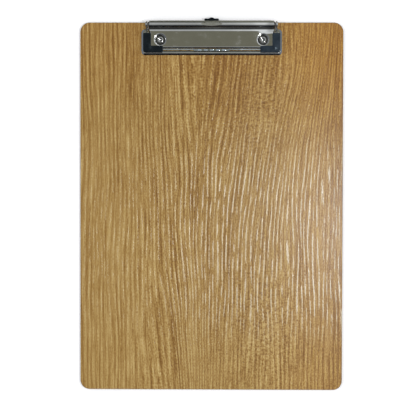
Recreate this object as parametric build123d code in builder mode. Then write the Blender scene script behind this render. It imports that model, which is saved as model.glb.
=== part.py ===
"""An A4 clipboard: a laminated fibreboard panel with a low-profile sprung clip riveted to its top edge.

Row frame, in millimetres: the origin is the centre of the board's back face, +Y points to the clip and +Z out of
the writing face. The clip is a stamped cover over a base plate. A bail-shaped jaw turns on an axle inside the
cover's barrel, and two torsion springs hold it down on the paper. A hanging tab slides out of the top.
"""

import os
from math import radians, tan

from build123d import *

# ---- board ----
BOARD_W = 225.0
BOARD_L = 315.0
BOARD_T = 3.0
BOARD_CORNER_R = 8.0
LAMINATE_T = 0.2
EDGE_BEVEL = 0.3
LAMINATE_BEVEL = 0.12

# ---- clip: shared sizes ----
SHEET = 0.8
SEAT_GAP = 0.05
RIVET_X = 43.8
RIVET_Y = 142.5
RIVET_POINTS = [(-RIVET_X, RIVET_Y), (RIVET_X, RIVET_Y)]
HUMP_R = 3.1
HUMP_REAR_Y = BOARD_L / 2 + 1.0
AXLE_Y = HUMP_REAR_Y - HUMP_R
AXLE_Z = 6.6
AXLE_R = 1.0
RUNNING_GAP = 0.05
# sizes that only make sketches overlap or pick edges
MARGIN = 0.1

# ---- base plate ----
BASE_CORNER_R = 1.5
GUIDE_EDGE_R = 0.4
LUG_CLEARANCE = 0.01
BASE_HALF_W = 50.4
BASE_FRONT_Y = 138.4
BASE_REAR_Y = 157.0
BASE_TOP_Z = BOARD_T + SHEET
LUG_X = 34.0
LUG_HALF_W = 2.2

# ---- hanging tab and its guide ----
TAB_W = 12.3
TAB_T = 1.4
TAB_CLEARANCE = 0.1
TAB_Z = BOARD_T + TAB_CLEARANCE
TAB_INNER_Y = 139.6
TAB_OUTER_Y = 160.6
TAB_BARB_W = 14.8
TAB_BARB_L = 1.6
TAB_HOLE_R = 3.0
TAB_HOLE_Y = 153.6
TAB_TRAVEL = 12.0
TAB_LIP_T = 1.9
TAB_LIP_H = 2.3
THUMB_R = 3.2
THUMB_OUT = 1.0
GUIDE_ROOM = 0.3
GUIDE_END_ROOM = 0.2
GUIDE_MOUTH_Y = TAB_INNER_Y + TAB_BARB_L + TAB_TRAVEL + GUIDE_END_ROOM
GUIDE_ROOF_Z = TAB_Z + TAB_T + TAB_CLEARANCE

# ---- cover plate ----
PLATE_HALF_W = 52.6
PLATE_FRONT_Y = 135.0
PLATE_TOP_Z = 7.0
HUMP_HALF_W = 53.0
HUMP_TOP_Z = AXLE_Z + HUMP_R
HUMP_REAR_Z = 5.7
TROUGH_Y = HUMP_REAR_Y - 2 * HUMP_R
TROUGH_Z = 6.15
BEND_Y = TROUGH_Y - 1.8
PLATEAU_END_Y = BEND_Y - 1.5
DISH_TOP_R = 4.75
DISH_FLOOR_R = 3.3
DISH_RIM_R = 5.5
DISH_SHOULDER_R = 1.2
DISH_FOOT_R = 0.45
DISH_LAP = 0.05
RIVET_SHANK_R = 1.9
RIVET_HOLE_R = 1.95

# ---- jaw ----
JAW_HALF_W = 60.0
NIP_Y = 129.6
JAW_SIDE_W = 6.7
JAW_FRONT_W = 5.1
FLANGE_W = 3.0
JAW_FLOOR_Z = BOARD_T + 0.1
FLANGE_TOP_Z = 4.3
BEAD_TOP_Z = 6.6
FLANGE_END_Y = 151.6
BEAD_END_Y = 150.4
JAW_CORNER_R = 3.0
EAR_X = 54.9
EAR_R = 2.6
PAD_HALF_L = 15.0
PAD_TOP_Z = 6.1
PAD_MARKS = 5

# ---- corner grips ----
GRIP_TOP_Z = 7.9
GRIP_FOOT_Z = 3.6
GRIP_SIDE_END_Y = 148.0
GRIP_BAR_END_X = 41.5

# ---- springs ----
WIRE_R = 0.55
COIL_R = 1.65
COIL_INNER_X = 36.4
COIL_TURNS = 11.5
ARM_X = 53.95

# ---- rivets ----
RIVET_HEAD_R = 4.4
RIVET_HEAD_T = 0.85
RIVET_HEAD_RECESS = 0.95
RIVET_ROLL_R = 0.8
RIVET_PIT_R = 1.2
RIVET_PIT_Z = 2.6
RIVET_PIT_CONE = 0.5
HEAD_BEVEL = 0.3
HEAD_SEAT = 0.05

os.makedirs("parts", exist_ok=True)


def save(builder, name):
    """Labels a finished piece and writes its STEP file."""
    builder.part.label = name
    export_step(builder.part, f"parts/{name}.step")
    print(f"{name}: {builder.part.volume:.1f} mm3, {len(builder.part.solids())} solid(s)")


def both_sides(x, y):
    """Two places, mirrored across the middle of the clip."""
    return [(-x, y), (x, y)]


# ======== board ========

with BuildPart() as board_core:
    with BuildSketch(Plane.XY.offset(LAMINATE_T)):
        RectangleRounded(BOARD_W, BOARD_L, BOARD_CORNER_R)
    extrude(amount=BOARD_T - 2 * LAMINATE_T)
    rims = board_core.faces().sort_by(Axis.Z)
    chamfer(rims[-1].edges() + rims[0].edges(), EDGE_BEVEL)
    with BuildSketch(Plane.XY):
        with Locations(*RIVET_POINTS):
            Circle(RIVET_HOLE_R)
    extrude(amount=BOARD_T, mode=Mode.SUBTRACT)
    with BuildSketch(Plane.XY):
        with Locations(*RIVET_POINTS):
            Circle(RIVET_HEAD_R + RUNNING_GAP)
    extrude(amount=RIVET_HEAD_RECESS, mode=Mode.SUBTRACT)
save(board_core, "board_core")


def laminate(bottom_z, bevelled, hole_r):
    """One skin of the board, with its free edge eased and clearance for the rivets."""
    with BuildPart() as skin:
        with BuildSketch(Plane.XY.offset(bottom_z)):
            RectangleRounded(
                BOARD_W - 2 * EDGE_BEVEL, BOARD_L - 2 * EDGE_BEVEL, BOARD_CORNER_R - EDGE_BEVEL
            )
            with Locations(*RIVET_POINTS):
                Circle(hole_r, mode=Mode.SUBTRACT)
        extrude(amount=LAMINATE_T)
        free_face = skin.faces().sort_by(Axis.Z)[bevelled]
        chamfer(free_face.outer_wire().edges(), LAMINATE_BEVEL)
    return skin


front_laminate = laminate(BOARD_T - LAMINATE_T, -1, RIVET_HOLE_R)
save(front_laminate, "front_laminate")
back_laminate = laminate(0, 0, RIVET_HEAD_R + RUNNING_GAP)
save(back_laminate, "back_laminate")


# ======== base plate ========

with BuildPart() as base_plate:
    base_depth = BASE_REAR_Y - BASE_FRONT_Y
    with BuildSketch(Plane.XY.offset(BOARD_T)):
        with Locations((0, BASE_FRONT_Y + base_depth / 2)):
            RectangleRounded(2 * BASE_HALF_W, base_depth, BASE_CORNER_R)
    extrude(amount=SHEET)
    # the raised guide: wide where the tab's barbs travel, narrow at its mouth
    guide_roof = GUIDE_ROOF_Z + SHEET - BOARD_T
    wide = TAB_BARB_W / 2 + GUIDE_ROOM
    narrow = TAB_W / 2 + GUIDE_ROOM
    with BuildSketch(Plane.XY.offset(BOARD_T)):
        with BuildLine():
            Polyline(
                (-wide - SHEET, BASE_FRONT_Y),
                (-wide - SHEET, GUIDE_MOUTH_Y + SHEET),
                (-narrow - SHEET, GUIDE_MOUTH_Y + SHEET),
                (-narrow - SHEET, BASE_REAR_Y),
                (narrow + SHEET, BASE_REAR_Y),
                (narrow + SHEET, GUIDE_MOUTH_Y + SHEET),
                (wide + SHEET, GUIDE_MOUTH_Y + SHEET),
                (wide + SHEET, BASE_FRONT_Y),
                close=True,
            )
        make_face()
    extrude(amount=guide_roof)
    fillet(base_plate.faces().sort_by(Axis.Z)[-1].edges(), GUIDE_EDGE_R)
    with BuildSketch(Plane.XY.offset(BOARD_T)):
        with BuildLine():
            Polyline(
                (-wide, BASE_FRONT_Y),
                (-wide, GUIDE_MOUTH_Y),
                (-narrow, GUIDE_MOUTH_Y),
                (-narrow, BASE_REAR_Y),
                (narrow, BASE_REAR_Y),
                (narrow, GUIDE_MOUTH_Y),
                (wide, GUIDE_MOUTH_Y),
                (wide, BASE_FRONT_Y),
                close=True,
            )
        make_face()
    extrude(amount=GUIDE_ROOF_Z - BOARD_T, mode=Mode.SUBTRACT)
    # two lugs bent up to carry the axle, and the windows that they were cut from
    for side in (-1, 1):
        lug_face_x = side * LUG_X - SHEET / 2
        with BuildSketch(Plane.YZ.offset(lug_face_x)):
            with BuildLine():
                Polyline(
                    (AXLE_Y - LUG_HALF_W, BOARD_T),
                    (AXLE_Y - LUG_HALF_W, AXLE_Z),
                )
                ThreePointArc(
                    (AXLE_Y - LUG_HALF_W, AXLE_Z),
                    (AXLE_Y, AXLE_Z + LUG_HALF_W),
                    (AXLE_Y + LUG_HALF_W, AXLE_Z),
                )
                Polyline(
                    (AXLE_Y + LUG_HALF_W, AXLE_Z),
                    (AXLE_Y + LUG_HALF_W, BOARD_T),
                    (AXLE_Y - LUG_HALF_W, BOARD_T),
                )
            make_face()
            with Locations((AXLE_Y, AXLE_Z)):
                Circle(AXLE_R + LUG_CLEARANCE, mode=Mode.SUBTRACT)
        extrude(amount=SHEET)
        window_l = AXLE_Z - BOARD_T + LUG_HALF_W - SHEET
        with BuildSketch(Plane.XY.offset(BOARD_T)):
            with Locations((side * (LUG_X - SHEET / 2 - window_l / 2), AXLE_Y)):
                Rectangle(window_l, 2 * LUG_HALF_W)
        extrude(amount=SHEET, mode=Mode.SUBTRACT)
    with BuildSketch(Plane.XY.offset(BOARD_T)):
        with Locations(*RIVET_POINTS):
            Circle(RIVET_HOLE_R)
    extrude(amount=SHEET, mode=Mode.SUBTRACT)
save(base_plate, "base_plate")


# ======== cover plate ========

LIP_R = 1.2
LIP_LEAN = 0.15
BEND_R = 4.2
TROUGH_R = 0.4
CREST_FRONT_R = HUMP_R - 0.25
CREST_REAR_R = HUMP_R + 0.1
SIDE_EDGE_R = 1.0
STEP_Y = BEND_Y - 0.5
STEP_CUT = 2.0
SADDLE_R = 120.0
SADDLE_DEPTH = 0.35
DISH_SKIRT = 0.3
BEND_LAP = 0.2


def plateau_block(inset, floor_z):
    """The plateau's box, from its front lip to the bend, drawn in by the sheet's thickness or not."""
    half_w = PLATE_HALF_W - inset
    front_y = PLATE_FRONT_Y + inset
    top_z = PLATE_TOP_Z - inset
    foot_y = front_y + LIP_LEAN * (top_z - floor_z)
    with BuildPart() as block:
        with BuildSketch(Plane.YZ.offset(-half_w)):
            with BuildLine():
                FilletPolyline(
                    (foot_y, floor_z),
                    (front_y, top_z),
                    (PLATEAU_END_Y, top_z),
                    radius=LIP_R - inset,
                )
                Polyline((PLATEAU_END_Y, top_z), (PLATEAU_END_Y, floor_z), (foot_y, floor_z))
            make_face()
        extrude(amount=2 * half_w)
        side_faces = block.faces().filter_by(Axis.X)
        side_edges = side_faces[0].edges() + side_faces[1].edges()
        upper = side_edges.filter_by(
            lambda edge: edge.center().Z > floor_z + MARGIN and edge.center().Y < PLATEAU_END_Y - MARGIN
        )
        fillet(upper, SIDE_EDGE_R - inset)
    return block


outer_block = plateau_block(0, BOARD_T + SEAT_GAP)
inner_block = plateau_block(SHEET, 0)

with BuildPart() as left_dish:
    with BuildSketch(Plane((-RIVET_X, RIVET_Y, 0), x_dir=(1, 0, 0), z_dir=(0, -1, 0))):
        with BuildLine():
            FilletPolyline(
                (DISH_RIM_R, PLATE_TOP_Z),
                (DISH_TOP_R, PLATE_TOP_Z),
                (DISH_FLOOR_R, BASE_TOP_Z + SHEET),
                (RIVET_HOLE_R, BASE_TOP_Z + SHEET),
                (RIVET_HOLE_R, BASE_TOP_Z),
                (DISH_FLOOR_R + SHEET / 2, BASE_TOP_Z),
                (DISH_RIM_R, PLATE_TOP_Z - SHEET - DISH_SKIRT),
                radius=[0, DISH_SHOULDER_R, DISH_FOOT_R, 0, 0, 0, 0],
                close=True,
            )
        make_face()
    revolve(axis=Axis((-RIVET_X, RIVET_Y, 0), (0, 0, 1)))

with BuildPart() as cover_plate:
    add(outer_block.part)
    add(inner_block.part, mode=Mode.SUBTRACT)
    # bend, trough and barrel in one sheet, which steps out from the plateau's width at the bend
    with BuildSketch(Plane.YZ.offset(-HUMP_HALF_W)):
        with BuildLine():
            FilletPolyline(
                (PLATEAU_END_Y - BEND_LAP, PLATE_TOP_Z),
                (BEND_Y, PLATE_TOP_Z),
                (TROUGH_Y, TROUGH_Z),
                (TROUGH_Y, HUMP_TOP_Z),
                (HUMP_REAR_Y, HUMP_TOP_Z),
                (HUMP_REAR_Y, HUMP_REAR_Z),
                radius=[BEND_R, TROUGH_R, CREST_FRONT_R, CREST_REAR_R],
            )
            offset(amount=SHEET, side=Side.RIGHT, kind=Kind.INTERSECTION)
        make_face()
    extrude(amount=2 * HUMP_HALF_W)
    with BuildSketch(Plane.XY.offset(BOARD_T)):
        with Locations(*both_sides(PLATE_HALF_W + STEP_CUT / 2, STEP_Y - STEP_CUT / 2)):
            Rectangle(STEP_CUT, STEP_CUT)
    extrude(amount=PLATE_TOP_Z, mode=Mode.SUBTRACT)
    # the barrel's middle is pressed slightly hollow above the hanging tab
    with BuildSketch(Plane.XZ.offset(-BEND_Y)):
        with Locations((0, HUMP_TOP_Z - SADDLE_DEPTH + SADDLE_R)):
            Circle(SADDLE_R)
    extrude(amount=BEND_Y - HUMP_REAR_Y - 1, mode=Mode.SUBTRACT)
    # each rivet sits in a dish pressed down to the base plate
    with BuildSketch(Plane.XY.offset(PLATE_TOP_Z - 2 * SHEET)):
        with Locations(*RIVET_POINTS):
            Circle(DISH_RIM_R - DISH_LAP)
    extrude(amount=3 * SHEET, mode=Mode.SUBTRACT)
    add(left_dish.part)
    mirror(left_dish.part, about=Plane.YZ)
save(cover_plate, "cover_plate")


# ======== jaw ========

BEAD_RISE = BEAD_TOP_Z - FLANGE_TOP_Z
BEAD_SLOPE = 25.0
BEAD_CORNER_R = 3.5
NOSE_EDGE = 0.15
NOSE_SLOPE = 54.0
NOSE_SOLID = 1.6
PAD_TOP_W = 1.8
PAD_FOOT_W = 2.4
PAD_END_RUN = 0.9
OPENING_CORNER_R = 1.0
JAW_INNER_X = JAW_HALF_W - JAW_SIDE_W
JAW_INNER_Y = NIP_Y + JAW_FRONT_W


def jaw_form(inset):
    """The jaw's pressed form, filled in: a flange, a bead inside it, and a flat pad in the middle."""
    slope_inset = inset * tan(radians(45 - BEAD_SLOPE / 2))
    flange_inset = NOSE_SOLID if inset else 0
    flange_half_w = JAW_HALF_W - flange_inset
    flange_l = FLANGE_END_Y - NIP_Y - 2 * flange_inset
    flange_y = (FLANGE_END_Y + NIP_Y) / 2
    bead_half_w = JAW_HALF_W - FLANGE_W - slope_inset
    bead_l = BEAD_END_Y - NIP_Y - FLANGE_W - 2 * slope_inset
    bead_y = (BEAD_END_Y + NIP_Y + FLANGE_W) / 2
    flange_top = FLANGE_TOP_Z - inset
    bead_top = BEAD_TOP_Z - inset
    pad_top = PAD_TOP_Z - inset
    pad_half_l = PAD_HALF_L - inset
    pad_inner_y = JAW_INNER_Y - inset
    edge_z = flange_top if inset else JAW_FLOOR_Z + NOSE_EDGE
    with BuildPart() as form:
        with BuildSketch(Plane.XY.offset(JAW_FLOOR_Z)):
            with Locations((0, flange_y)):
                RectangleRounded(2 * flange_half_w, flange_l, JAW_CORNER_R - flange_inset)
        extrude(amount=edge_z - JAW_FLOOR_Z)
        if inset == 0:
            extrude(form.faces().sort_by(Axis.Z)[-1], amount=flange_top - edge_z, taper=NOSE_SLOPE)
        with BuildSketch(Plane.XY.offset(flange_top)):
            with Locations((0, bead_y)):
                RectangleRounded(2 * bead_half_w, bead_l, BEAD_CORNER_R)
        extrude(amount=BEAD_RISE, taper=BEAD_SLOPE)
        # press the bead's middle lower, with sloping ends, and make its front steeper
        with BuildSketch(Plane.XZ.offset(-FLANGE_END_Y)):
            with BuildLine():
                Polyline(
                    (-pad_half_l - PAD_END_RUN, bead_top + MARGIN),
                    (-pad_half_l, pad_top),
                    (pad_half_l, pad_top),
                    (pad_half_l + PAD_END_RUN, bead_top + MARGIN),
                    close=True,
                )
            make_face()
        extrude(amount=FLANGE_END_Y - NIP_Y, mode=Mode.SUBTRACT)
        with BuildSketch(Plane.YZ.offset(-pad_half_l)):
            with BuildLine():
                Polyline(
                    (pad_inner_y, flange_top - MARGIN),
                    (pad_inner_y, pad_top),
                    (JAW_INNER_Y - PAD_TOP_W + inset, pad_top),
                    (JAW_INNER_Y - PAD_FOOT_W + inset, flange_top - MARGIN),
                    close=True,
                )
            make_face()
        extrude(amount=2 * pad_half_l)
        # the opening that the cover plate stands in
        opening_half_w = JAW_INNER_X + inset
        opening_y = JAW_INNER_Y - inset
        with BuildSketch(Plane.XY):
            with BuildLine():
                FilletPolyline(
                    (-opening_half_w, FLANGE_END_Y + 1),
                    (-opening_half_w, opening_y),
                    (opening_half_w, opening_y),
                    (opening_half_w, FLANGE_END_Y + 1),
                    radius=OPENING_CORNER_R,
                )
                Line((-opening_half_w, FLANGE_END_Y + 1), (opening_half_w, FLANGE_END_Y + 1))
            make_face()
        extrude(amount=2 * BEAD_TOP_Z, mode=Mode.SUBTRACT)
    return form


jaw_solid = jaw_form(0)
jaw_hollow = jaw_form(SHEET)

EAR_ROOT_Y = GRIP_SIDE_END_Y + 0.05
EAR_ROOT_LOW = 3.9
EAR_ROOT_HIGH = 6.4
WEB_TOP_Z = 5.2
WEB_X = 57.6
WEB_START_Y = 149.0
WEB_END_Y = 153.2
MARK_PITCH = 5.2
MARK_L = 3.4
MARK_W = 1.1
MARK_H = 0.11
MARK_SLOPE = 78.0
MARK_INSET = 0.1
EAR_FOOT = 0.4

with BuildPart() as jaw_frame:
    add(jaw_solid.part)
    add(jaw_hollow.part, mode=Mode.SUBTRACT)
    # generic raised marks in a row on the pad
    with BuildSketch(Plane.XY.offset(PAD_TOP_Z)):
        with Locations((0, JAW_INNER_Y - PAD_TOP_W + MARK_W / 2 + MARK_INSET)):
            with GridLocations(MARK_PITCH, 1, PAD_MARKS, 1):
                SlotOverall(MARK_L, MARK_W)
    extrude(amount=MARK_H, taper=MARK_SLOPE)
    # ears that stand on the ends of the arms and turn on the axle
    for ear_face_x in (-EAR_X - SHEET, EAR_X):
        with BuildSketch(Plane.YZ.offset(ear_face_x)):
            with Locations((AXLE_Y, AXLE_Z)):
                Circle(EAR_R)
            with Locations((EAR_ROOT_Y + EAR_FOOT / 2, (EAR_ROOT_LOW + EAR_ROOT_HIGH) / 2)):
                Rectangle(EAR_FOOT, EAR_ROOT_HIGH - EAR_ROOT_LOW)
            make_hull()
            with Locations((AXLE_Y, AXLE_Z)):
                Circle(AXLE_R + RUNNING_GAP, mode=Mode.SUBTRACT)
        extrude(amount=SHEET)
    # webs that brace the ears' roots
    for side in (-1, 1):
        with BuildSketch(Plane.XY.offset(EAR_ROOT_LOW)):
            with BuildLine():
                Polyline(
                    (side * (EAR_X + SHEET / 2), WEB_START_Y),
                    (side * WEB_X, WEB_START_Y),
                    (side * (EAR_X + SHEET), WEB_END_Y),
                    (side * (EAR_X + SHEET / 2), WEB_END_Y),
                    close=True,
                )
            make_face()
        extrude(amount=WEB_TOP_Z - EAR_ROOT_LOW)
save(jaw_frame, "jaw_frame")


# ======== corner grips ========

GRIP_END_R = 0.9
GRIP_EDGE_R = 0.6
GRIP_CORNER_R = 2.2
GRIP_OUTER_X = JAW_HALF_W - 1.6
GRIP_OUTER_Y = NIP_Y + 1.75
GRIP_INNER_X = JAW_INNER_X - 1.6
GRIP_INNER_Y = JAW_INNER_Y + 2.5
GRIP_LAP_Z = PLATE_TOP_Z + 0.1


def corner_grip(side):
    """A plastic sleeve over one front corner of the jaw's bead, with a lip that laps over the cover plate."""
    with BuildPart() as grip:
        with BuildSketch(Plane.XY.offset(GRIP_FOOT_Z)):
            with BuildLine():
                Polyline(
                    (side * GRIP_OUTER_X, GRIP_SIDE_END_Y),
                    (side * GRIP_OUTER_X, GRIP_OUTER_Y),
                    (side * GRIP_BAR_END_X, GRIP_OUTER_Y),
                    (side * GRIP_BAR_END_X, GRIP_INNER_Y),
                    (side * GRIP_INNER_X, GRIP_INNER_Y),
                    (side * GRIP_INNER_X, GRIP_SIDE_END_Y),
                    close=True,
                )
            make_face()
        extrude(amount=GRIP_TOP_Z - GRIP_FOOT_Z)
        corners = grip.edges().filter_by(Axis.Z)
        outer_corner = corners.sort_by_distance((side * GRIP_OUTER_X, GRIP_OUTER_Y, GRIP_FOOT_Z))[0]
        inner_corner = corners.sort_by_distance((side * GRIP_INNER_X, GRIP_INNER_Y, GRIP_FOOT_Z))[0]
        fillet(outer_corner, GRIP_CORNER_R)
        fillet(corners - [outer_corner, inner_corner], GRIP_END_R)
        fillet(grip.faces().sort_by(Axis.Z)[-1].edges(), GRIP_EDGE_R)
        add(jaw_solid.part, mode=Mode.SUBTRACT)
        # room for the cover plate under the lip
        with BuildSketch(Plane.XY):
            room_l = FLANGE_END_Y - JAW_INNER_Y
            with Locations((0, JAW_INNER_Y - SEAT_GAP + room_l / 2)):
                Rectangle(2 * (JAW_INNER_X + SEAT_GAP), room_l)
        extrude(amount=GRIP_LAP_Z, mode=Mode.SUBTRACT)
    return grip


for side, name in ((-1, "left_grip"), (1, "right_grip")):
    save(corner_grip(side), name)


# ======== axle pin ========

PIN_HEAD_GAP = 0.1
PIN_HEAD_X = EAR_X + SHEET + PIN_HEAD_GAP
PIN_HEAD_R = 1.9
PIN_HEAD_T = 0.8
PEENED_R = 1.7
PEENED_T = 0.6
PIN_BEVEL = 0.3
PEEN_BEVEL = 0.4

with BuildPart() as axle_pin:
    with BuildSketch(Plane((0, AXLE_Y, AXLE_Z))):
        with BuildLine():
            Polyline(
                (-PIN_HEAD_X - PIN_HEAD_T, 0),
                (-PIN_HEAD_X - PIN_HEAD_T, PIN_HEAD_R - PIN_BEVEL),
                (-PIN_HEAD_X - PIN_HEAD_T + PIN_BEVEL, PIN_HEAD_R),
                (-PIN_HEAD_X, PIN_HEAD_R),
                (-PIN_HEAD_X, AXLE_R),
                (PIN_HEAD_X, AXLE_R),
                (PIN_HEAD_X, PEENED_R),
                (PIN_HEAD_X + PEENED_T - PIN_BEVEL, PEENED_R),
                (PIN_HEAD_X + PEENED_T, PEENED_R - PEEN_BEVEL),
                (PIN_HEAD_X + PEENED_T, 0),
                close=True,
            )
        make_face()
    revolve(axis=Axis((0, AXLE_Y, AXLE_Z), (1, 0, 0)))
save(axle_pin, "axle_pin")


# ======== rivets ========


def rivet(x, y):
    """A tubular rivet: a flat head let into the back, a hollow shank, and an end rolled over in the dish."""
    roll_foot_z = BASE_TOP_Z + SHEET
    head_z = RIVET_HEAD_RECESS - RIVET_HEAD_T - HEAD_SEAT
    with BuildPart() as piece:
        with BuildSketch(Plane.XZ.offset(-y)):
            with BuildLine():
                Polyline(
                    (x, head_z),
                    (x + RIVET_HEAD_R - HEAD_BEVEL, head_z),
                    (x + RIVET_HEAD_R, head_z + HEAD_BEVEL),
                    (x + RIVET_HEAD_R, head_z + RIVET_HEAD_T),
                    (x + RIVET_SHANK_R, head_z + RIVET_HEAD_T),
                    (x + RIVET_SHANK_R, roll_foot_z),
                    (x + RIVET_PIT_R + 2 * RIVET_ROLL_R, roll_foot_z),
                )
                ThreePointArc(
                    (x + RIVET_PIT_R + 2 * RIVET_ROLL_R, roll_foot_z),
                    (x + RIVET_PIT_R + RIVET_ROLL_R, roll_foot_z + RIVET_ROLL_R),
                    (x + RIVET_PIT_R, roll_foot_z),
                )
                Polyline(
                    (x + RIVET_PIT_R, roll_foot_z),
                    (x + RIVET_PIT_R, RIVET_PIT_Z),
                    (x, RIVET_PIT_Z - RIVET_PIT_CONE),
                    (x, head_z),
                )
            make_face()
        revolve(axis=Axis((x, y, 0), (0, 0, 1)))
    return piece


for (x, y), name in zip(RIVET_POINTS, ("left_rivet", "right_rivet")):
    save(rivet(x, y), name)


# ======== hanging tab ========

TAB_END_R = 0.4
LIP_INSET = 0.15
LIP_TOP_R = 0.3

with BuildPart() as hanger_tab:
    tab_l = TAB_OUTER_Y - TAB_INNER_Y
    thumb_y = TAB_OUTER_Y + THUMB_OUT - THUMB_R
    lip_y = TAB_OUTER_Y - TAB_LIP_T
    with BuildSketch(Plane.XY.offset(TAB_Z)):
        with Locations((0, TAB_INNER_Y + tab_l / 2)):
            RectangleRounded(TAB_W, tab_l, TAB_END_R)
        with Locations((0, TAB_INNER_Y + TAB_BARB_L / 2)):
            Rectangle(TAB_BARB_W, TAB_BARB_L)
        with Locations((0, thumb_y)):
            Circle(THUMB_R)
    extrude(amount=TAB_T)
    # the finger lip across the outer end, with a small thumb catch in the middle
    with BuildSketch(Plane.XY.offset(TAB_Z)):
        with Locations((0, thumb_y)):
            Circle(THUMB_R - LIP_INSET)
        with Locations((0, lip_y - THUMB_R)):
            Rectangle(TAB_W, 2 * THUMB_R, mode=Mode.SUBTRACT)
        with Locations((0, (lip_y + TAB_OUTER_Y - LIP_INSET) / 2)):
            Rectangle(TAB_W - 2 * LIP_INSET, TAB_LIP_T - LIP_INSET)
    extrude(amount=TAB_LIP_H)
    fillet(hanger_tab.faces().sort_by(Axis.Z)[-1].edges(), LIP_TOP_R)
    with BuildSketch(Plane.XY.offset(TAB_Z)):
        with Locations((0, TAB_HOLE_Y)):
            Circle(TAB_HOLE_R)
    extrude(amount=TAB_T, mode=Mode.SUBTRACT)
save(hanger_tab, "hanger_tab")


# ======== torsion springs ========

LEG_TOP_Y = 150.9
LEG_TOP_Z = 8.2
LEG_TIP_X = 56.2
LEG_KNEE_Y = 149.5
LEG_FOOT_Y = 142.5
LEG_FOOT_Z = PLATE_TOP_Z - SHEET - WIRE_R - 0.02
LEG_BEND_R = 1.0
KNEE_R = 6.0

with BuildPart() as left_spring:
    # the coil starts on top, outside the barrel, and ends below, half a turn on
    with BuildLine() as coil_line:
        Helix(
            pitch=(ARM_X - COIL_INNER_X) / COIL_TURNS,
            height=ARM_X - COIL_INNER_X,
            radius=COIL_R,
            center=(-ARM_X, AXLE_Y, AXLE_Z),
            direction=(1, 0, 0),
            lefthand=True,
        )
    coil = coil_line.line
    # the outer leg presses on the jaw's ear, the inner one on the underside of the plateau
    with BuildLine() as outer_leg_line:
        FilletPolyline(
            (-LEG_TIP_X, LEG_TOP_Y, LEG_TOP_Z),
            (-ARM_X, LEG_TOP_Y, LEG_TOP_Z),
            coil @ 0,
            radius=LEG_BEND_R,
        )
    with BuildLine() as inner_leg_line:
        FilletPolyline(
            coil @ 1,
            (-COIL_INNER_X, LEG_KNEE_Y, (coil @ 1).Z),
            (-COIL_INNER_X, LEG_FOOT_Y, LEG_FOOT_Z),
            radius=KNEE_R,
        )
    for wire, is_coil in ((coil, True), (outer_leg_line.line, False), (inner_leg_line.line, False)):
        with BuildSketch(Plane(wire @ 0, z_dir=wire % 0)):
            Circle(WIRE_R)
        sweep(path=wire, is_frenet=is_coil)
    with Locations(coil @ 0, coil @ 1):
        Sphere(WIRE_R)
save(left_spring, "left_spring")

with BuildPart() as right_spring:
    mirror(left_spring.part, about=Plane.YZ)
save(right_spring, "right_spring")
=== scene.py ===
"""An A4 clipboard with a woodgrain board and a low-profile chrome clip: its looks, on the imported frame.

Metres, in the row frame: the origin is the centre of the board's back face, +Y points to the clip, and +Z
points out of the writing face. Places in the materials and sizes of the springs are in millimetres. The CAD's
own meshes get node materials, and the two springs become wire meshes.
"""

import math

import bmesh
import bpy
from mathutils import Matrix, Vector


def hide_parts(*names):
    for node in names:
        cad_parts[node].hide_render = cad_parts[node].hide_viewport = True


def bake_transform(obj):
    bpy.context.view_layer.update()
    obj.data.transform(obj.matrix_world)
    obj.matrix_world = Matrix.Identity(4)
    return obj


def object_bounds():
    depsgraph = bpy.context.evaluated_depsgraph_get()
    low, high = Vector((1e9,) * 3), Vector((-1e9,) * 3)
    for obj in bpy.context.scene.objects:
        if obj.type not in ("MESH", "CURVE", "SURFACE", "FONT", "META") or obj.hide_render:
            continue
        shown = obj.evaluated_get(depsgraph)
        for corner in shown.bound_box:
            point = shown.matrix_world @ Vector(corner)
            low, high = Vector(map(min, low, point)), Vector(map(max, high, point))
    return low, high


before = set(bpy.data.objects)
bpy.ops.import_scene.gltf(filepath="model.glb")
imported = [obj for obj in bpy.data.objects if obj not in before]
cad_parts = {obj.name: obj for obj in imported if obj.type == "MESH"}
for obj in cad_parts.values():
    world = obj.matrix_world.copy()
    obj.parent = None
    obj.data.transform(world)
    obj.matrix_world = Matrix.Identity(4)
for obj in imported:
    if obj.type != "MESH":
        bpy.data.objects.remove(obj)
cad_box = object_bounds()

MM = 0.001


# ======== shader arithmetic ========


class Value:
    """A number in a shader. Ordinary arithmetic on it makes Math nodes."""

    def __init__(self, tree, socket):
        self.tree = tree
        self.socket = socket

    def math(self, operation, *others, clamp=False):
        node = self.tree.nodes.new("ShaderNodeMath")
        node.operation = operation
        node.use_clamp = clamp
        for place, value in enumerate((self, *others)):
            plug(self.tree, value, node.inputs[place])
        return Value(self.tree, node.outputs[0])

    def __add__(self, other):
        return self.math("ADD", other)

    def __sub__(self, other):
        return self.math("SUBTRACT", other)

    def __rsub__(self, other):
        return self.math("MULTIPLY", -1.0) + other

    def __mul__(self, other):
        return self.math("MULTIPLY", other)

    def __truediv__(self, other):
        return self.math("DIVIDE", other)

    def __neg__(self):
        return self * -1.0

    __radd__ = __add__
    __rmul__ = __mul__

    def clamped(self):
        return self.math("ADD", 0.0, clamp=True)

    def step(self, low, high):
        """0 below low, 1 above high, and a smooth rise between them."""
        node = self.tree.nodes.new("ShaderNodeMapRange")
        node.interpolation_type = "SMOOTHSTEP"
        plug(self.tree, self, node.inputs["Value"])
        node.inputs["From Min"].default_value = low
        node.inputs["From Max"].default_value = high
        return Value(self.tree, node.outputs["Result"])

    def bell(self, centre, width):
        """1 at centre, falling off on both sides over about width."""
        offset = (self - centre) / width
        return (-(offset * offset)).math("EXPONENT")


def plug(tree, value, socket):
    """Gives a node's input a value: a number, a colour or another node's output."""
    if isinstance(value, Value):
        tree.links.new(value.socket, socket)
    elif isinstance(value, bpy.types.NodeSocket):
        tree.links.new(value, socket)
    else:
        socket.default_value = value


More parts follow.
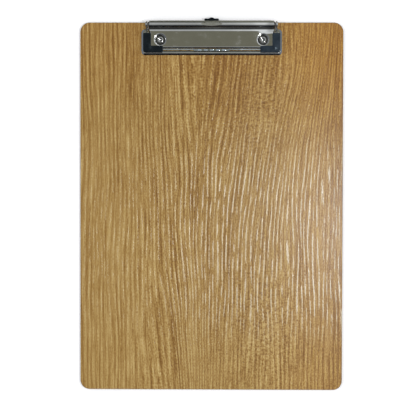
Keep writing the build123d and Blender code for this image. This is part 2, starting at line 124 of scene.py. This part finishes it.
def mixed(tree, share, first, second, blend="MIX"):
    """The colour first, with a share of the colour second blended into it."""
    node = tree.nodes.new("ShaderNodeMix")
    node.data_type = "RGBA"
    node.blend_type = blend
    plug(tree, share, node.inputs["Factor"])
    for value, socket in ((first, node.inputs["A"]), (second, node.inputs["B"])):
        plug(tree, (*value, 1.0) if isinstance(value, tuple) else value, socket)
    return node.outputs["Result"]


def ramped(tree, value, stops):
    """A colour for each value: stops are (position, (r, g, b))."""
    node = tree.nodes.new("ShaderNodeValToRGB")
    elements = node.color_ramp.elements
    while len(elements) < len(stops):
        elements.new(0.5)
    for element, (position, colour) in zip(elements, stops):
        element.position = position
        element.color = (*colour, 1.0)
    plug(tree, value, node.inputs["Fac"])
    return node.outputs["Color"]


class Finish:
    """One node material. Places are in millimetres of the row frame, on the rest pose."""

    def __init__(self, name, **settings):
        self.material = bpy.data.materials.new(name)
        self.material.use_nodes = True
        self.tree = self.material.node_tree
        self.shader = self.tree.nodes["Principled BSDF"]
        for label, value in settings.items():
            self.shader.inputs[label.replace("_", " ").title().replace("Ior", "IOR")].default_value = value

    def place(self):
        """x, y and z of the shaded point."""
        source = self.tree.nodes.new("ShaderNodeTexCoord")
        split = self.tree.nodes.new("ShaderNodeSeparateXYZ")
        self.tree.links.new(source.outputs["Object"], split.inputs[0])
        return [Value(self.tree, out) * (1 / MM) for out in split.outputs]

    def join(self, x, y, z):
        """Three numbers as one vector."""
        node = self.tree.nodes.new("ShaderNodeCombineXYZ")
        for value, socket in zip((x, y, z), node.inputs):
            plug(self.tree, value, socket)
        return node.outputs[0]

    def noise(self, x, y, z, detail=2.0, rough=0.5, warp=0.0):
        """Noise from 0 to 1 whose grains are one unit of x, y and z across."""
        node = self.tree.nodes.new("ShaderNodeTexNoise")
        self.tree.links.new(self.join(x, y, z), node.inputs["Vector"])
        node.inputs["Scale"].default_value = 1.0
        node.inputs["Detail"].default_value = detail
        node.inputs["Roughness"].default_value = rough
        node.inputs["Distortion"].default_value = warp
        return Value(self.tree, node.outputs["Fac"])

    def cells(self, x, y, z):
        """Distance to the nearest of scattered points, one unit apart."""
        node = self.tree.nodes.new("ShaderNodeTexVoronoi")
        self.tree.links.new(self.join(x, y, z), node.inputs["Vector"])
        node.inputs["Scale"].default_value = 1.0
        return Value(self.tree, node.outputs["Distance"])

    def ramp(self, value, *stops):
        return ramped(self.tree, value, stops)

    def mix(self, share, first, second, blend="MIX"):
        return mixed(self.tree, share, first, second, blend)

    def colour(self, socket):
        self.tree.links.new(socket, self.shader.inputs["Base Color"])

    def roughness(self, value):
        plug(self.tree, value.clamped(), self.shader.inputs["Roughness"])

    def relief(self, height, depth_mm):
        """Bump: depth_mm is how much a height of 1 is on the surface."""
        node = self.tree.nodes.new("ShaderNodeBump")
        node.inputs["Strength"].default_value = 1.0
        node.inputs["Distance"].default_value = depth_mm * MM
        plug(self.tree, height, node.inputs["Height"])
        self.tree.links.new(node.outputs["Normal"], self.shader.inputs["Normal"])


# ======== woodgrain laminate ========

FAN_X = -13.0
FAN_HALF_W = 32.0
GRAIN_TILT = 0.115
KNEE_Y = -25.0
KNEE_LENGTH = 30.0
BULGE = 17.0
RIDGE_PITCH = 3.7
PAINTED_SHEEN_PRINT = (0.57, 0.495, 0.375)
WARM_TINT = (1.04, 0.955, 0.84)
CORNER_TINT = (0.99, 0.89, 0.62)
EMBOSSING = 0.20


def grain_line(finish, x, y):
    """Across-grain coordinate, the same all along a line, and the signed distance from the fan's middle.

    The lines spread upwards like a fan: left of its middle they lean to the left as they go up, and right of
    it to the right, though below the knee the right side is nearly straight. At the upper right the lines
    bulge aside, and towards both edges of the board the lean dies out.
    """
    sway = (finish.noise(x / 60, y / 120, 3.0, detail=1.0) - 0.5) * 7.0
    ripple = (finish.noise(x / 14, y / 55, 8.0, detail=2.0) - 0.5) * (x.step(-90.0, -35.0) + 0.5)
    offset = x - FAN_X + sway * 0.5
    left_lean = y * offset.bell(0.0, 34.0) * (GRAIN_TILT - y.step(-40.0, 60.0) * 0.03)
    from_knee = y - KNEE_Y
    knee = (from_knee * from_knee + KNEE_LENGTH * KNEE_LENGTH).math("SQRT")
    above = (from_knee + knee) * 0.5 + KNEE_Y
    below = (from_knee - knee) * 0.5
    upper_lean = above * (1.0 - x.step(30.0, 90.0)) * GRAIN_TILT
    lower_lean = below * offset.bell(0.0, 30.0) * 0.04
    bulge = (x - y * 0.16).bell(60.0, 28.0) * y.step(10.0, 150.0) * BULGE
    right_lean = upper_lean + lower_lean + bulge
    right = offset.step(-FAN_HALF_W, FAN_HALF_W)
    lean = right_lean * right - left_lean * (1.0 - right)
    return offset - lean + sway * 0.5 + ripple, offset


def woodgrain(name, shift):
    """Printed and embossed oak grain under a satin wear layer. shift picks another stretch of the print."""
    finish = Finish(name, specular_ior_level=0.45)
    x, y, z = finish.place()
    line, offset = grain_line(finish, x, y)

    # the print: regular dark and light lines, broken along their length, over slow changes of colour
    wander = (finish.noise(line / 12, y / 90, shift + 21, detail=1.0) - 0.5) * 13.0
    ridge = (line * (2 * math.pi / RIDGE_PITCH) + wander).math("SINE")
    broad = finish.noise(line / 22, y / 300, shift, detail=1.0)
    streaks = finish.noise(line / 1.7, y / 75, shift + 5, detail=2.0, rough=0.6)
    threads = finish.noise(line / 0.9, y / 16, shift + 9, detail=2.0, rough=0.6)
    beads = finish.noise(line / 0.9, y / 1.7, shift + 13, detail=1.0)
    cloud = finish.noise(x / 26, y / 26, shift + 17, detail=2.0)
    whole = finish.noise(line / 2.6, y / 15, shift + 35, detail=1.0).step(0.38, 0.56)
    ragged = (beads - 0.5) * 0.9 + (threads - 0.5)
    crest = (ridge + ragged).step(0.40, 1.10) * whole
    furrow = (ragged - ridge).step(0.45, 1.15) * (1.0 - whole * 0.4)
    pores = finish.noise(line / 0.75, y / 9, shift + 41, detail=1.0).step(0.60, 0.74)
    fibres = finish.noise(line / 0.22, y / 5, shift + 45, detail=1.0)

    # cross-grain figure: short ripples over the lines, in two patches right of the middle
    upper_patch = (x - y * 0.22).bell(22.0, 24.0) * y.bell(88.0, 46.0)
    lower_patch = x.bell(48.0, 34.0) * y.bell(-105.0, 55.0)
    patch = (upper_patch + lower_patch * 0.8).clamped()
    figure = finish.noise(line / 2.6, y / 1.7, shift + 25, detail=1.0, warp=0.8)
    strength = x.step(-95.0, -25.0) * 0.38 + 0.92 - upper_patch * 0.35 + lower_patch * 0.1

    # a few long, thin dark lines near the fan's middle
    growth = finish.noise(line / 5.5, y / 500, shift + 51, detail=0.0).bell(0.5, 0.035)
    growth = growth * offset.bell(-8.0, 45.0)

    # near the left edge the lines are streaked, and further in they are beaded
    inner = x.step(-90.0, -35.0)
    tone = (
        0.46
        + (broad - 0.5) * 0.22
        + (cloud - 0.5) * 0.12
        + (
            crest * 0.17
            - furrow * 0.20
            - pores * 0.12
            - growth * 0.13
            + (streaks - 0.5) * (0.9 - inner * 0.25)
            + (threads - 0.5) * 0.60
            + (beads - 0.5) * (0.4 + inner * 0.25)
            + (fibres - 0.5) * 0.35
            + (figure - 0.5) * patch
        )
        * strength
    )
    # the print is deeper in colour towards the clip, in a band right of the middle and at the right edge
    deep_band = (x - 12.0 - y * 0.06).bell(0.0, 22.0) * y.step(20.0, 110.0)
    depth = y.step(-20.0, 150.0) * (0.08 - (x + 30.0).bell(0.0, 24.0) * 0.07)
    depth = depth + deep_band * 0.15 + x.step(90.0, 112.0) * 0.08
    print_colour = finish.ramp(
        tone - depth,
        (0.05, (0.146, 0.062, 0.008)),
        (0.25, (0.226, 0.117, 0.021)),
        (0.42, (0.298, 0.175, 0.046)),
        (0.62, (0.385, 0.254, 0.084)),
        (0.95, (0.480, 0.345, 0.140)),
    )
    warmth = (x.step(30.0, 100.0) * 0.7 + deep_band * 0.3 + y.step(60.0, 150.0) * 0.5).clamped()
    print_colour = finish.mix(warmth, print_colour, WARM_TINT, "MULTIPLY")
    far_corner = y.step(40.0, 150.0) * x.step(30.0, 110.0)
    print_colour = finish.mix(far_corner, print_colour, CORNER_TINT, "MULTIPLY")
    # painted sheen: between the board's top and bottom parts the raised threads are painted pale, most of all
    # on the right, as a painted highlight along with the print's own pale crests
    polish_and_painted_sheen = (1.0 - y.step(5.0, 80.0)) * y.step(-125.0, -80.0)
    polish_and_painted_sheen = polish_and_painted_sheen * (x.step(-50.0, 20.0) * 0.65 + x.step(60.0, 90.0) * 0.45 + 0.10)
    finish.colour(finish.mix(crest * polish_and_painted_sheen, print_colour, PAINTED_SHEEN_PRINT))

    # the embossing follows the lines: narrow raised threads, broken here and there, with fine tooth on them
    tooth = finish.noise(line / 0.5, y / 1.1, shift + 37, detail=1.0)
    raised = crest * (x.step(-100.0, 40.0) * 0.45 + 0.30)
    relief = raised + (figure - 0.5) * patch * 0.5 + (threads - 0.5) * 0.45 + tooth * 0.12 + fibres * 0.10
    finish.relief(relief, EMBOSSING)
    finish.roughness(0.30 + (streaks - 0.5) * 0.12 + (tooth - 0.5) * 0.1 - crest * 0.08)
    return finish.material


def fibreboard():
    """Sawn and waxed fibreboard, seen at the board's eased edge."""
    finish = Finish("fibreboard", specular_ior_level=0.3)
    x, y, z = finish.place()
    layers = finish.noise(x / 9, y / 9, z / 0.22, detail=2.0)
    fibres = finish.noise(x / 0.7, y / 0.7, z / 0.16, detail=3.0, rough=0.65)
    tone = 0.5 + (layers - 0.5) * 0.8 + (fibres - 0.5) * 0.9
    finish.colour(
        finish.ramp(
            tone,
            (0.2, (0.085, 0.047, 0.020)),
            (0.5, (0.165, 0.098, 0.045)),
            (0.85, (0.270, 0.175, 0.090)),
        )
    )
    finish.roughness(0.72 + (fibres - 0.5) * 0.3)
    finish.relief(fibres, 0.06)
    return finish.material


# ======== metals ========

CHROME_TINT = (0.90, 0.90, 0.885)
BEAD_PAINTED_REFLECTION = (0.74, 0.86, 0.97)
PAINTED_SHADE = (0.03, 0.03, 0.028)
RIVETS = ((-43.8, 142.5), (43.8, 142.5))
# painted shade: dark rings where shade falls round each rivet in its dish, and in each rivet's pit
DISH_PAINTED_SHADE = [(x, y, 3.5, 0.7) for x, y in RIVETS]
RIVET_PAINTED_SHADE = [(x, y, 3.1, 0.7) for x, y in RIVETS] + [(x, y, 1.3, 0.2) for x, y in RIVETS]
CREASE_Y = 152.3
CREASE_W = 0.75
BEAD_Y = 133.8
BEAD_W = 0.9
PAD_W = 15.0
SADDLE_W = 15.0
DIP_X = 46.5
DIP_HEIGHT = -16.0
FLANGE_HEIGHT = 4.5
DOME_W = 1.1
DOME_HEIGHT = 9.0
CHROME_RELIEF = 0.012


def chrome(name, haze, painted_shade_rings=(), crease_painted_shade=0.0, domes=(), front_bar=0.0, saddle_wear=0.0):
    """Bright nickel-chrome plate on pressed steel: mirror, with fine wipe marks and a trace of ripple.

    haze is its roughness between the smudges. painted_shade_rings lists rings of painted shade, as (centre x,
    centre y, radius, width), and domes lists the centres of crowned spots. crease_painted_shade paints shade
    into the crease behind the cover's plateau, saddle_wear blurs the saddle in its barrel, and front_bar
    blurs and rolls the jaw's front bar and paints a bluish reflection on its bead.
    Heights are in units of CHROME_RELIEF.
    """
    finish = Finish(name, metallic=1.0)
    x, y, z = finish.place()
    wipes = finish.noise(x / 0.9, y / 0.06, z / 0.3, detail=2.0, rough=0.6)
    smudge = finish.noise(x / 9, y / 6, z / 4, detail=3.0, rough=0.6)
    ripple = finish.noise(x / 14, y / 14, z / 14, detail=1.0)
    plated = finish.ramp(smudge, (0.3, tuple(c * 0.93 for c in CHROME_TINT)), (0.7, CHROME_TINT))
    # painted shade: each ring darkens the plate colour where shade falls in a dish or pit
    for centre_x, centre_y, radius, width in painted_shade_rings:
        reach_x = x - centre_x
        reach_y = y - centre_y
        reach = (reach_x * reach_x + reach_y * reach_y).math("SQRT")
        plated = finish.mix(reach.bell(radius, width) * 0.9, plated, PAINTED_SHADE)
    # painted shade: the crease behind the plateau is painted dark, and less so in front of the saddle
    crease = y.bell(CREASE_Y, CREASE_W) * (1.0 - x.bell(0.0, 13.0) * 0.45)
    plated = finish.mix(crease * crease_painted_shade, plated, PAINTED_SHADE)
    # painted reflection: the bead of the jaw's front bar is tinted bluish as a painted reflection, and it is
    # duller away from the pad with the marks
    bead = y.bell(BEAD_Y, BEAD_W) * front_bar
    finish.colour(finish.mix(bead, plated, BEAD_PAINTED_REFLECTION))
    dull_bead = bead * (1.0 - x.bell(0.0, PAD_W))
    saddle = y.step(152.6, 153.4) * x.bell(0.0, SADDLE_W) * saddle_wear
    smudged = haze + smudge.step(0.52, 0.72) * 0.09 + (wipes - 0.5) * 0.03
    finish.roughness(smudged + dull_bead * 0.16 + saddle * 0.10)
    # the plate dips a little behind the right rivet, and the flange of the jaw's front bar is rolled down
    dip = (x - DIP_X).bell(0.0, 6.0) * y.step(147.0, 150.5)
    flange = y.step(130.4, 132.8) * front_bar
    relief = ripple * 0.9 + wipes * 0.012 + dip * DIP_HEIGHT + flange * FLANGE_HEIGHT
    for centre_x, centre_y in domes:
        dome = (x - centre_x).bell(0.0, DOME_W) * (y - centre_y).bell(0.0, DOME_W)
        relief = relief + dome * DOME_HEIGHT
    finish.relief(relief, CHROME_RELIEF)
    return finish.material


def zinc_plate():
    """Bright zinc on the hidden base plate and the axle: greyer and softer than the chrome."""
    finish = Finish("zinc_plate", metallic=1.0)
    x, y, z = finish.place()
    spangle = finish.cells(x / 1.6, y / 1.6, z / 1.6)
    rolled = finish.noise(x / 6, y / 0.12, z / 0.5, detail=2.0)
    finish.colour(finish.ramp(spangle, (0.1, (0.48, 0.50, 0.52)), (0.8, (0.66, 0.67, 0.68))))
    finish.roughness(0.3 + (rolled - 0.5) * 0.25 + spangle * 0.08)
    finish.relief(rolled, 0.008)
    return finish.material


def spring_wire():
    """Drawn and oil-tempered wire, with the die's fine lines."""
    finish = Finish("spring_wire", metallic=1.0)
    x, y, z = finish.place()
    drawn = finish.noise(x / 0.1, y / 2.0, z / 0.1, detail=2.0)
    bloom = finish.noise(x / 3, y / 3, z / 3, detail=3.0)
    finish.colour(finish.ramp(bloom, (0.3, (0.16, 0.158, 0.155)), (0.75, (0.30, 0.295, 0.29))))
    finish.roughness(0.34 + (bloom - 0.5) * 0.2)
    finish.relief(drawn, 0.006)
    return finish.material


# ======== plastics ========

DARK_BLACK = (0.0026, 0.0038, 0.0054)
PALE_BLACK = (0.0056, 0.0076, 0.0102)
SHEEN_TINT = (0.72, 0.9, 1.0, 1.0)
SWELL_X = 53.6
SWELL_Y = 136.4
SWELL_W = 2.2
PLASTIC_RELIEF = 0.006


def black_plastic(name, haze, tone_and_painted_light=1.0, specular=0.35, swelling=75.0):
    """Injection-moulded black plastic: spark-eroded texture, softly polished in places.

    haze is its mean roughness, paleness multiplies its colour (above 1 on the right grip, where it is painted
    light), and specular is the strength of its sheen.
    swelling is the height of the crown at a grip's corner, in units of PLASTIC_RELIEF.
    """
    finish = Finish(name, specular_ior_level=specular, specular_tint=SHEEN_TINT)
    x, y, z = finish.place()
    grain = finish.noise(x / 0.22, y / 0.22, z / 0.22, detail=2.0, rough=0.6)
    polish_and_painted_sheen = finish.noise(x / 5, y / 5, z / 2.5, detail=2.0)
    dark, pale = (tuple(c * tone_and_painted_light for c in black) for black in (DARK_BLACK, PALE_BLACK))
    finish.colour(finish.ramp(polish_and_painted_sheen, (0.3, dark), (0.8, pale)))
    finish.roughness(haze + (polish_and_painted_sheen - 0.5) * 0.14 + (grain - 0.5) * 0.06)
    swell = x.math("ABSOLUTE").bell(SWELL_X, SWELL_W) * y.bell(SWELL_Y, SWELL_W)
    finish.relief(grain + (polish_and_painted_sheen - 0.5) * 12.0 + swell * swelling, PLASTIC_RELIEF)
    return finish.material


# ======== materials on the pieces ========

materials = {
    "front_laminate": woodgrain("woodgrain_front", 40.0),
    "back_laminate": woodgrain("woodgrain_back", 140.0),
    "board_core": fibreboard(),
    "cover_plate": chrome("chrome_cover", 0.05, DISH_PAINTED_SHADE, crease_painted_shade=0.8, saddle_wear=1.0),
    "jaw_frame": chrome("chrome_jaw", 0.07, front_bar=1.0),
    "left_rivet": chrome("chrome_rivet", 0.08, RIVET_PAINTED_SHADE, domes=RIVETS),
    "base_plate": zinc_plate(),
    "left_spring": spring_wire(),
    "left_grip": black_plastic("left_grip_plastic", 0.2),
    # painted light: the right grip is painted four times paler than the left, standing in for the light
    # falling on that side
    "right_grip": black_plastic("right_grip_painted_lit_plastic", 0.2, tone_and_painted_light=4.0),
    "hanger_tab": black_plastic("tab_plastic", 0.42, tone_and_painted_light=0.6, specular=0.12, swelling=0.0),
}
materials["right_rivet"] = materials["left_rivet"]
materials["axle_pin"] = materials["base_plate"]
materials["right_spring"] = materials["left_spring"]

for name, material in materials.items():
    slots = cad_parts[name].data.materials
    slots.clear()
    slots.append(material)


# ======== springs ========

SPRING_AXIS = (155.4, 6.6)
WIRE_R = 0.55
COIL_R = 1.65
COIL_TURNS = 11.5
COIL_OUTER_X = 53.95
COIL_INNER_X = 36.4
OUTER_LEG_TIP_X = 56.2
OUTER_LEG_Y = 150.9
OUTER_LEG_Z = 8.2
OUTER_BEND_R = 1.0
INNER_LEG_BEND_Y = 149.5
INNER_LEG_TIP_Y = 142.5
INNER_LEG_TIP_Z = 5.63
INNER_BEND_R = 2.5
STEPS_PER_TURN = 28
WIRE_SIDES = 14


def bent(corners, radius, steps=7):
    """Points along a wire through corners, each bend rounded."""
    points = [Vector(corners[0])]
    for before, corner, after in zip(corners, corners[1:], corners[2:]):
        before, corner, after = Vector(before), Vector(corner), Vector(after)
        back = (before - corner).normalized() * min(radius, (before - corner).length * 0.45)
        ahead = (after - corner).normalized() * min(radius, (after - corner).length * 0.45)
        for step in range(steps + 1):
            t = step / steps
            points.append(corner + back * (1 - t) ** 2 + ahead * t * t)
    points.append(Vector(corners[-1]))
    return points


def spring_path(side):
    """The wire's centre line: outer leg, coil from its top round to its underside, inner leg.

    side is -1 for the left spring and 1 for the right one.
    """
    axle_y, axle_z = SPRING_AXIS
    outer_tip = (OUTER_LEG_TIP_X, OUTER_LEG_Y, OUTER_LEG_Z)
    outer_corner = (COIL_OUTER_X, OUTER_LEG_Y, OUTER_LEG_Z)
    coil_top = (COIL_OUTER_X, axle_y, axle_z + COIL_R)
    outer_leg = bent([outer_tip, outer_corner, coil_top], OUTER_BEND_R)
    coil = []
    count = round(COIL_TURNS * STEPS_PER_TURN)
    for step in range(1, count):
        turn = 2 * math.pi * COIL_TURNS * step / count
        along = COIL_OUTER_X - (COIL_OUTER_X - COIL_INNER_X) * step / count
        coil.append(Vector((along, axle_y + COIL_R * math.sin(turn), axle_z + COIL_R * math.cos(turn))))
    underside = (COIL_INNER_X, axle_y, axle_z - COIL_R)
    inner_corner = (COIL_INNER_X, INNER_LEG_BEND_Y, axle_z - COIL_R)
    inner_tip = (COIL_INNER_X, INNER_LEG_TIP_Y, INNER_LEG_TIP_Z)
    inner_leg = bent([underside, inner_corner, inner_tip], INNER_BEND_R)
    return [Vector((side * p.x, p.y, p.z)) * MM for p in outer_leg + coil + inner_leg]


def wire_mesh(name, path, radius):
    """A round wire along a path, with eased ends.

    ease says how far from an end each ring is, and how wide it is, as shares of the radius.
    """
    ease = ((0.0, 0.55), (0.35, 0.9), (0.9, 1.0))
    start = (path[1] - path[0]).normalized()
    finish_way = (path[-1] - path[-2]).normalized()
    opening = [(path[0] + start * (d * radius), r) for d, r in ease]
    closing = [(path[-1] - finish_way * (d * radius), r) for d, r in reversed(ease)]
    rings = opening + [(p, 1.0) for p in path[1:-1]] + closing
    grid = bmesh.new()
    loops = []
    across = start.orthogonal().normalized()
    for index, (point, swell) in enumerate(rings):
        ahead = rings[min(index + 1, len(rings) - 1)][0]
        behind = rings[max(index - 1, 0)][0]
        way = (ahead - behind).normalized()
        across = (across - way * across.dot(way)).normalized()
        up = way.cross(across)
        loop = []
        for corner in range(WIRE_SIDES):
            angle = 2 * math.pi * corner / WIRE_SIDES
            spoke = across * math.cos(angle) + up * math.sin(angle)
            loop.append(grid.verts.new(point + spoke * radius * swell))
        loops.append(loop)
    for first, second in zip(loops, loops[1:]):
        for corner in range(WIRE_SIDES):
            after = (corner + 1) % WIRE_SIDES
            grid.faces.new((first[corner], first[after], second[after], second[corner]))
    grid.faces.new(list(reversed(loops[0])))
    grid.faces.new(loops[-1])
    bmesh.ops.recalc_face_normals(grid, faces=grid.faces)
    for face in grid.faces:
        face.smooth = len(face.verts) == 4
    mesh = bpy.data.meshes.new(name)
    grid.to_mesh(mesh)
    grid.free()
    piece = bpy.data.objects.new(name, mesh)
    bpy.context.scene.collection.objects.link(piece)
    return piece


for side, node in ((-1, "left_spring"), (1, "right_spring")):
    wire = wire_mesh(node + "_wire", spring_path(side), WIRE_R * MM)
    wire.data.materials.append(materials["left_spring"])
    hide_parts(node)
    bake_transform(wire)


# ======== studio ========

DAYLIGHT = (0.80, 0.81, 0.83)
CEILING = (
    (-0.80, (0.008, 0.009, 0.011)),
    (-0.55, (0.140, 0.150, 0.155)),
    (-0.28, (0.290, 0.300, 0.300)),
    (0.08, (0.320, 0.330, 0.330)),
    (0.30, (0.400, 0.415, 0.425)),
    (0.85, (0.400, 0.415, 0.425)),
    (1.25, (0.130, 0.130, 0.100)),
)
SIDE_WALLS = (0.16, 0.18, 0.21)
DIM_PATCH = (0.150, 0.148, 0.112)
FLOOR_IN_CHROME = (0.13, 0.13, 0.105)
FLOOR_GAP = 0.0003
CAMERA_PLACE = (0.0064, 0.0157, 0.8530)
CAMERA_TURN = (-1.1305, 0.6265, 0.1129)
CAMERA_LENS = 85.76


def world_light():
    """Plain daylight, and for mirror reflections a room: a bright ceiling that is dark on the near side.

    A direction is given by how far it goes along (towards the clip) and rightward for each unit upward.
    """
    world = bpy.data.worlds.new("studio")
    world.use_nodes = True
    tree = world.node_tree
    background = tree.nodes["Background"]
    source = tree.nodes.new("ShaderNodeTexCoord")
    split = tree.nodes.new("ShaderNodeSeparateXYZ")
    tree.links.new(source.outputs["Generated"], split.inputs[0])
    x, y, z = [Value(tree, out) for out in split.outputs]
    height = z.math("MAXIMUM", 0.05)
    rightward = x / height
    aside = rightward.math("ABSOLUTE")
    along = y / height

    # the ramp takes 0 to 1 for places from -1 to 2
    stops = [((position + 1) / 3, colour) for position, colour in CEILING]
    ceiling = ramped(tree, (along + 1.0) / 3.0, stops)
    far_gap = along.step(1.2, 1.5) * (1.0 - along.step(2.6, 4.0))
    sideways = rightward.step(-0.02, 0.08) * 0.8 + 1.0 - (-rightward).step(0.12, 0.4) * 0.55
    brightness = tree.nodes.new("ShaderNodeCombineColor")
    for socket in brightness.inputs[:3]:
        plug(tree, sideways * (1.0 - far_gap * 0.88), socket)
    ceiling = mixed(tree, 1.0, ceiling, brightness.outputs["Color"], "MULTIPLY")
    room = mixed(tree, aside.step(0.9, 2.0), ceiling, SIDE_WALLS)

    # a dim patch in the ceiling, a little towards the clip
    patch = along.step(0.05, 0.09) * (1.0 - along.step(0.19, 0.24)) * (1.0 - aside.step(0.11, 0.24))
    room = mixed(tree, patch, room, DIM_PATCH)
    rays = tree.nodes.new("ShaderNodeLightPath")
    colour = mixed(tree, rays.outputs["Is Glossy Ray"], DAYLIGHT, room)
    tree.links.new(colour, background.inputs["Color"])
    background.inputs["Strength"].default_value = 1.0
    bpy.context.scene.world = world


def soft_light(name, place, target, size, power):
    """A rectangular lamp at place, facing target; size is its width and height."""
    light = bpy.data.lights.new(name, "AREA")
    light.shape = "RECTANGLE"
    light.size, light.size_y = size
    light.energy = power
    lamp = bpy.data.objects.new(name, light)
    bpy.context.scene.collection.objects.link(lamp)
    lamp.location = place
    lamp.rotation_euler = (Vector(target) - Vector(place)).to_track_quat("-Z", "Y").to_euler()
    return lamp


def pale_floor(height):
    """A wide pale sheet at this height, darker in mirror reflections than it looks."""
    mesh = bpy.data.meshes.new("floor")
    grid = bmesh.new()
    bmesh.ops.create_grid(grid, x_segments=8, y_segments=8, size=3.0)
    grid.to_mesh(mesh)
    grid.free()
    floor = bpy.data.objects.new("floor", mesh)
    floor.location.z = height
    bpy.context.scene.collection.objects.link(floor)
    finish = Finish("pale_floor", specular_ior_level=0.1, roughness=0.9)
    x, y, z = finish.place()
    paper = finish.noise(x / 2, y / 2, z, detail=3.0)
    rays = finish.tree.nodes.new("ShaderNodeLightPath")
    pale = finish.ramp(paper, (0.2, (0.90, 0.90, 0.90)), (0.8, (0.93, 0.93, 0.93)))
    finish.colour(finish.mix(rays.outputs["Is Glossy Ray"], pale, FLOOR_IN_CHROME))
    mesh.materials.append(finish.material)


def overhead_camera():
    """A camera straight above the writing face, turned by small angles in degrees."""
    data = bpy.data.cameras.new("camera")
    data.lens = CAMERA_LENS
    camera = bpy.data.objects.new("camera", data)
    camera.location = CAMERA_PLACE
    camera.rotation_euler = [math.radians(a) for a in CAMERA_TURN]
    bpy.context.scene.collection.objects.link(camera)
    bpy.context.scene.camera = camera


world_light()
pale_floor(cad_box[0].z - FLOOR_GAP)
soft_light("window_right", place=(0.36, -0.05, 0.85), target=(0.06, -0.03, 0.0), size=(0.12, 0.22), power=3.0)
fill = soft_light("fill_left", place=(-0.9, 0.1, 0.9), target=(0.0, 0.0, 0.0), size=(0.7, 0.9), power=4.0)
fill.visible_glossy = False
overhead_camera()
bpy.context.scene.view_settings.view_transform = "Standard"
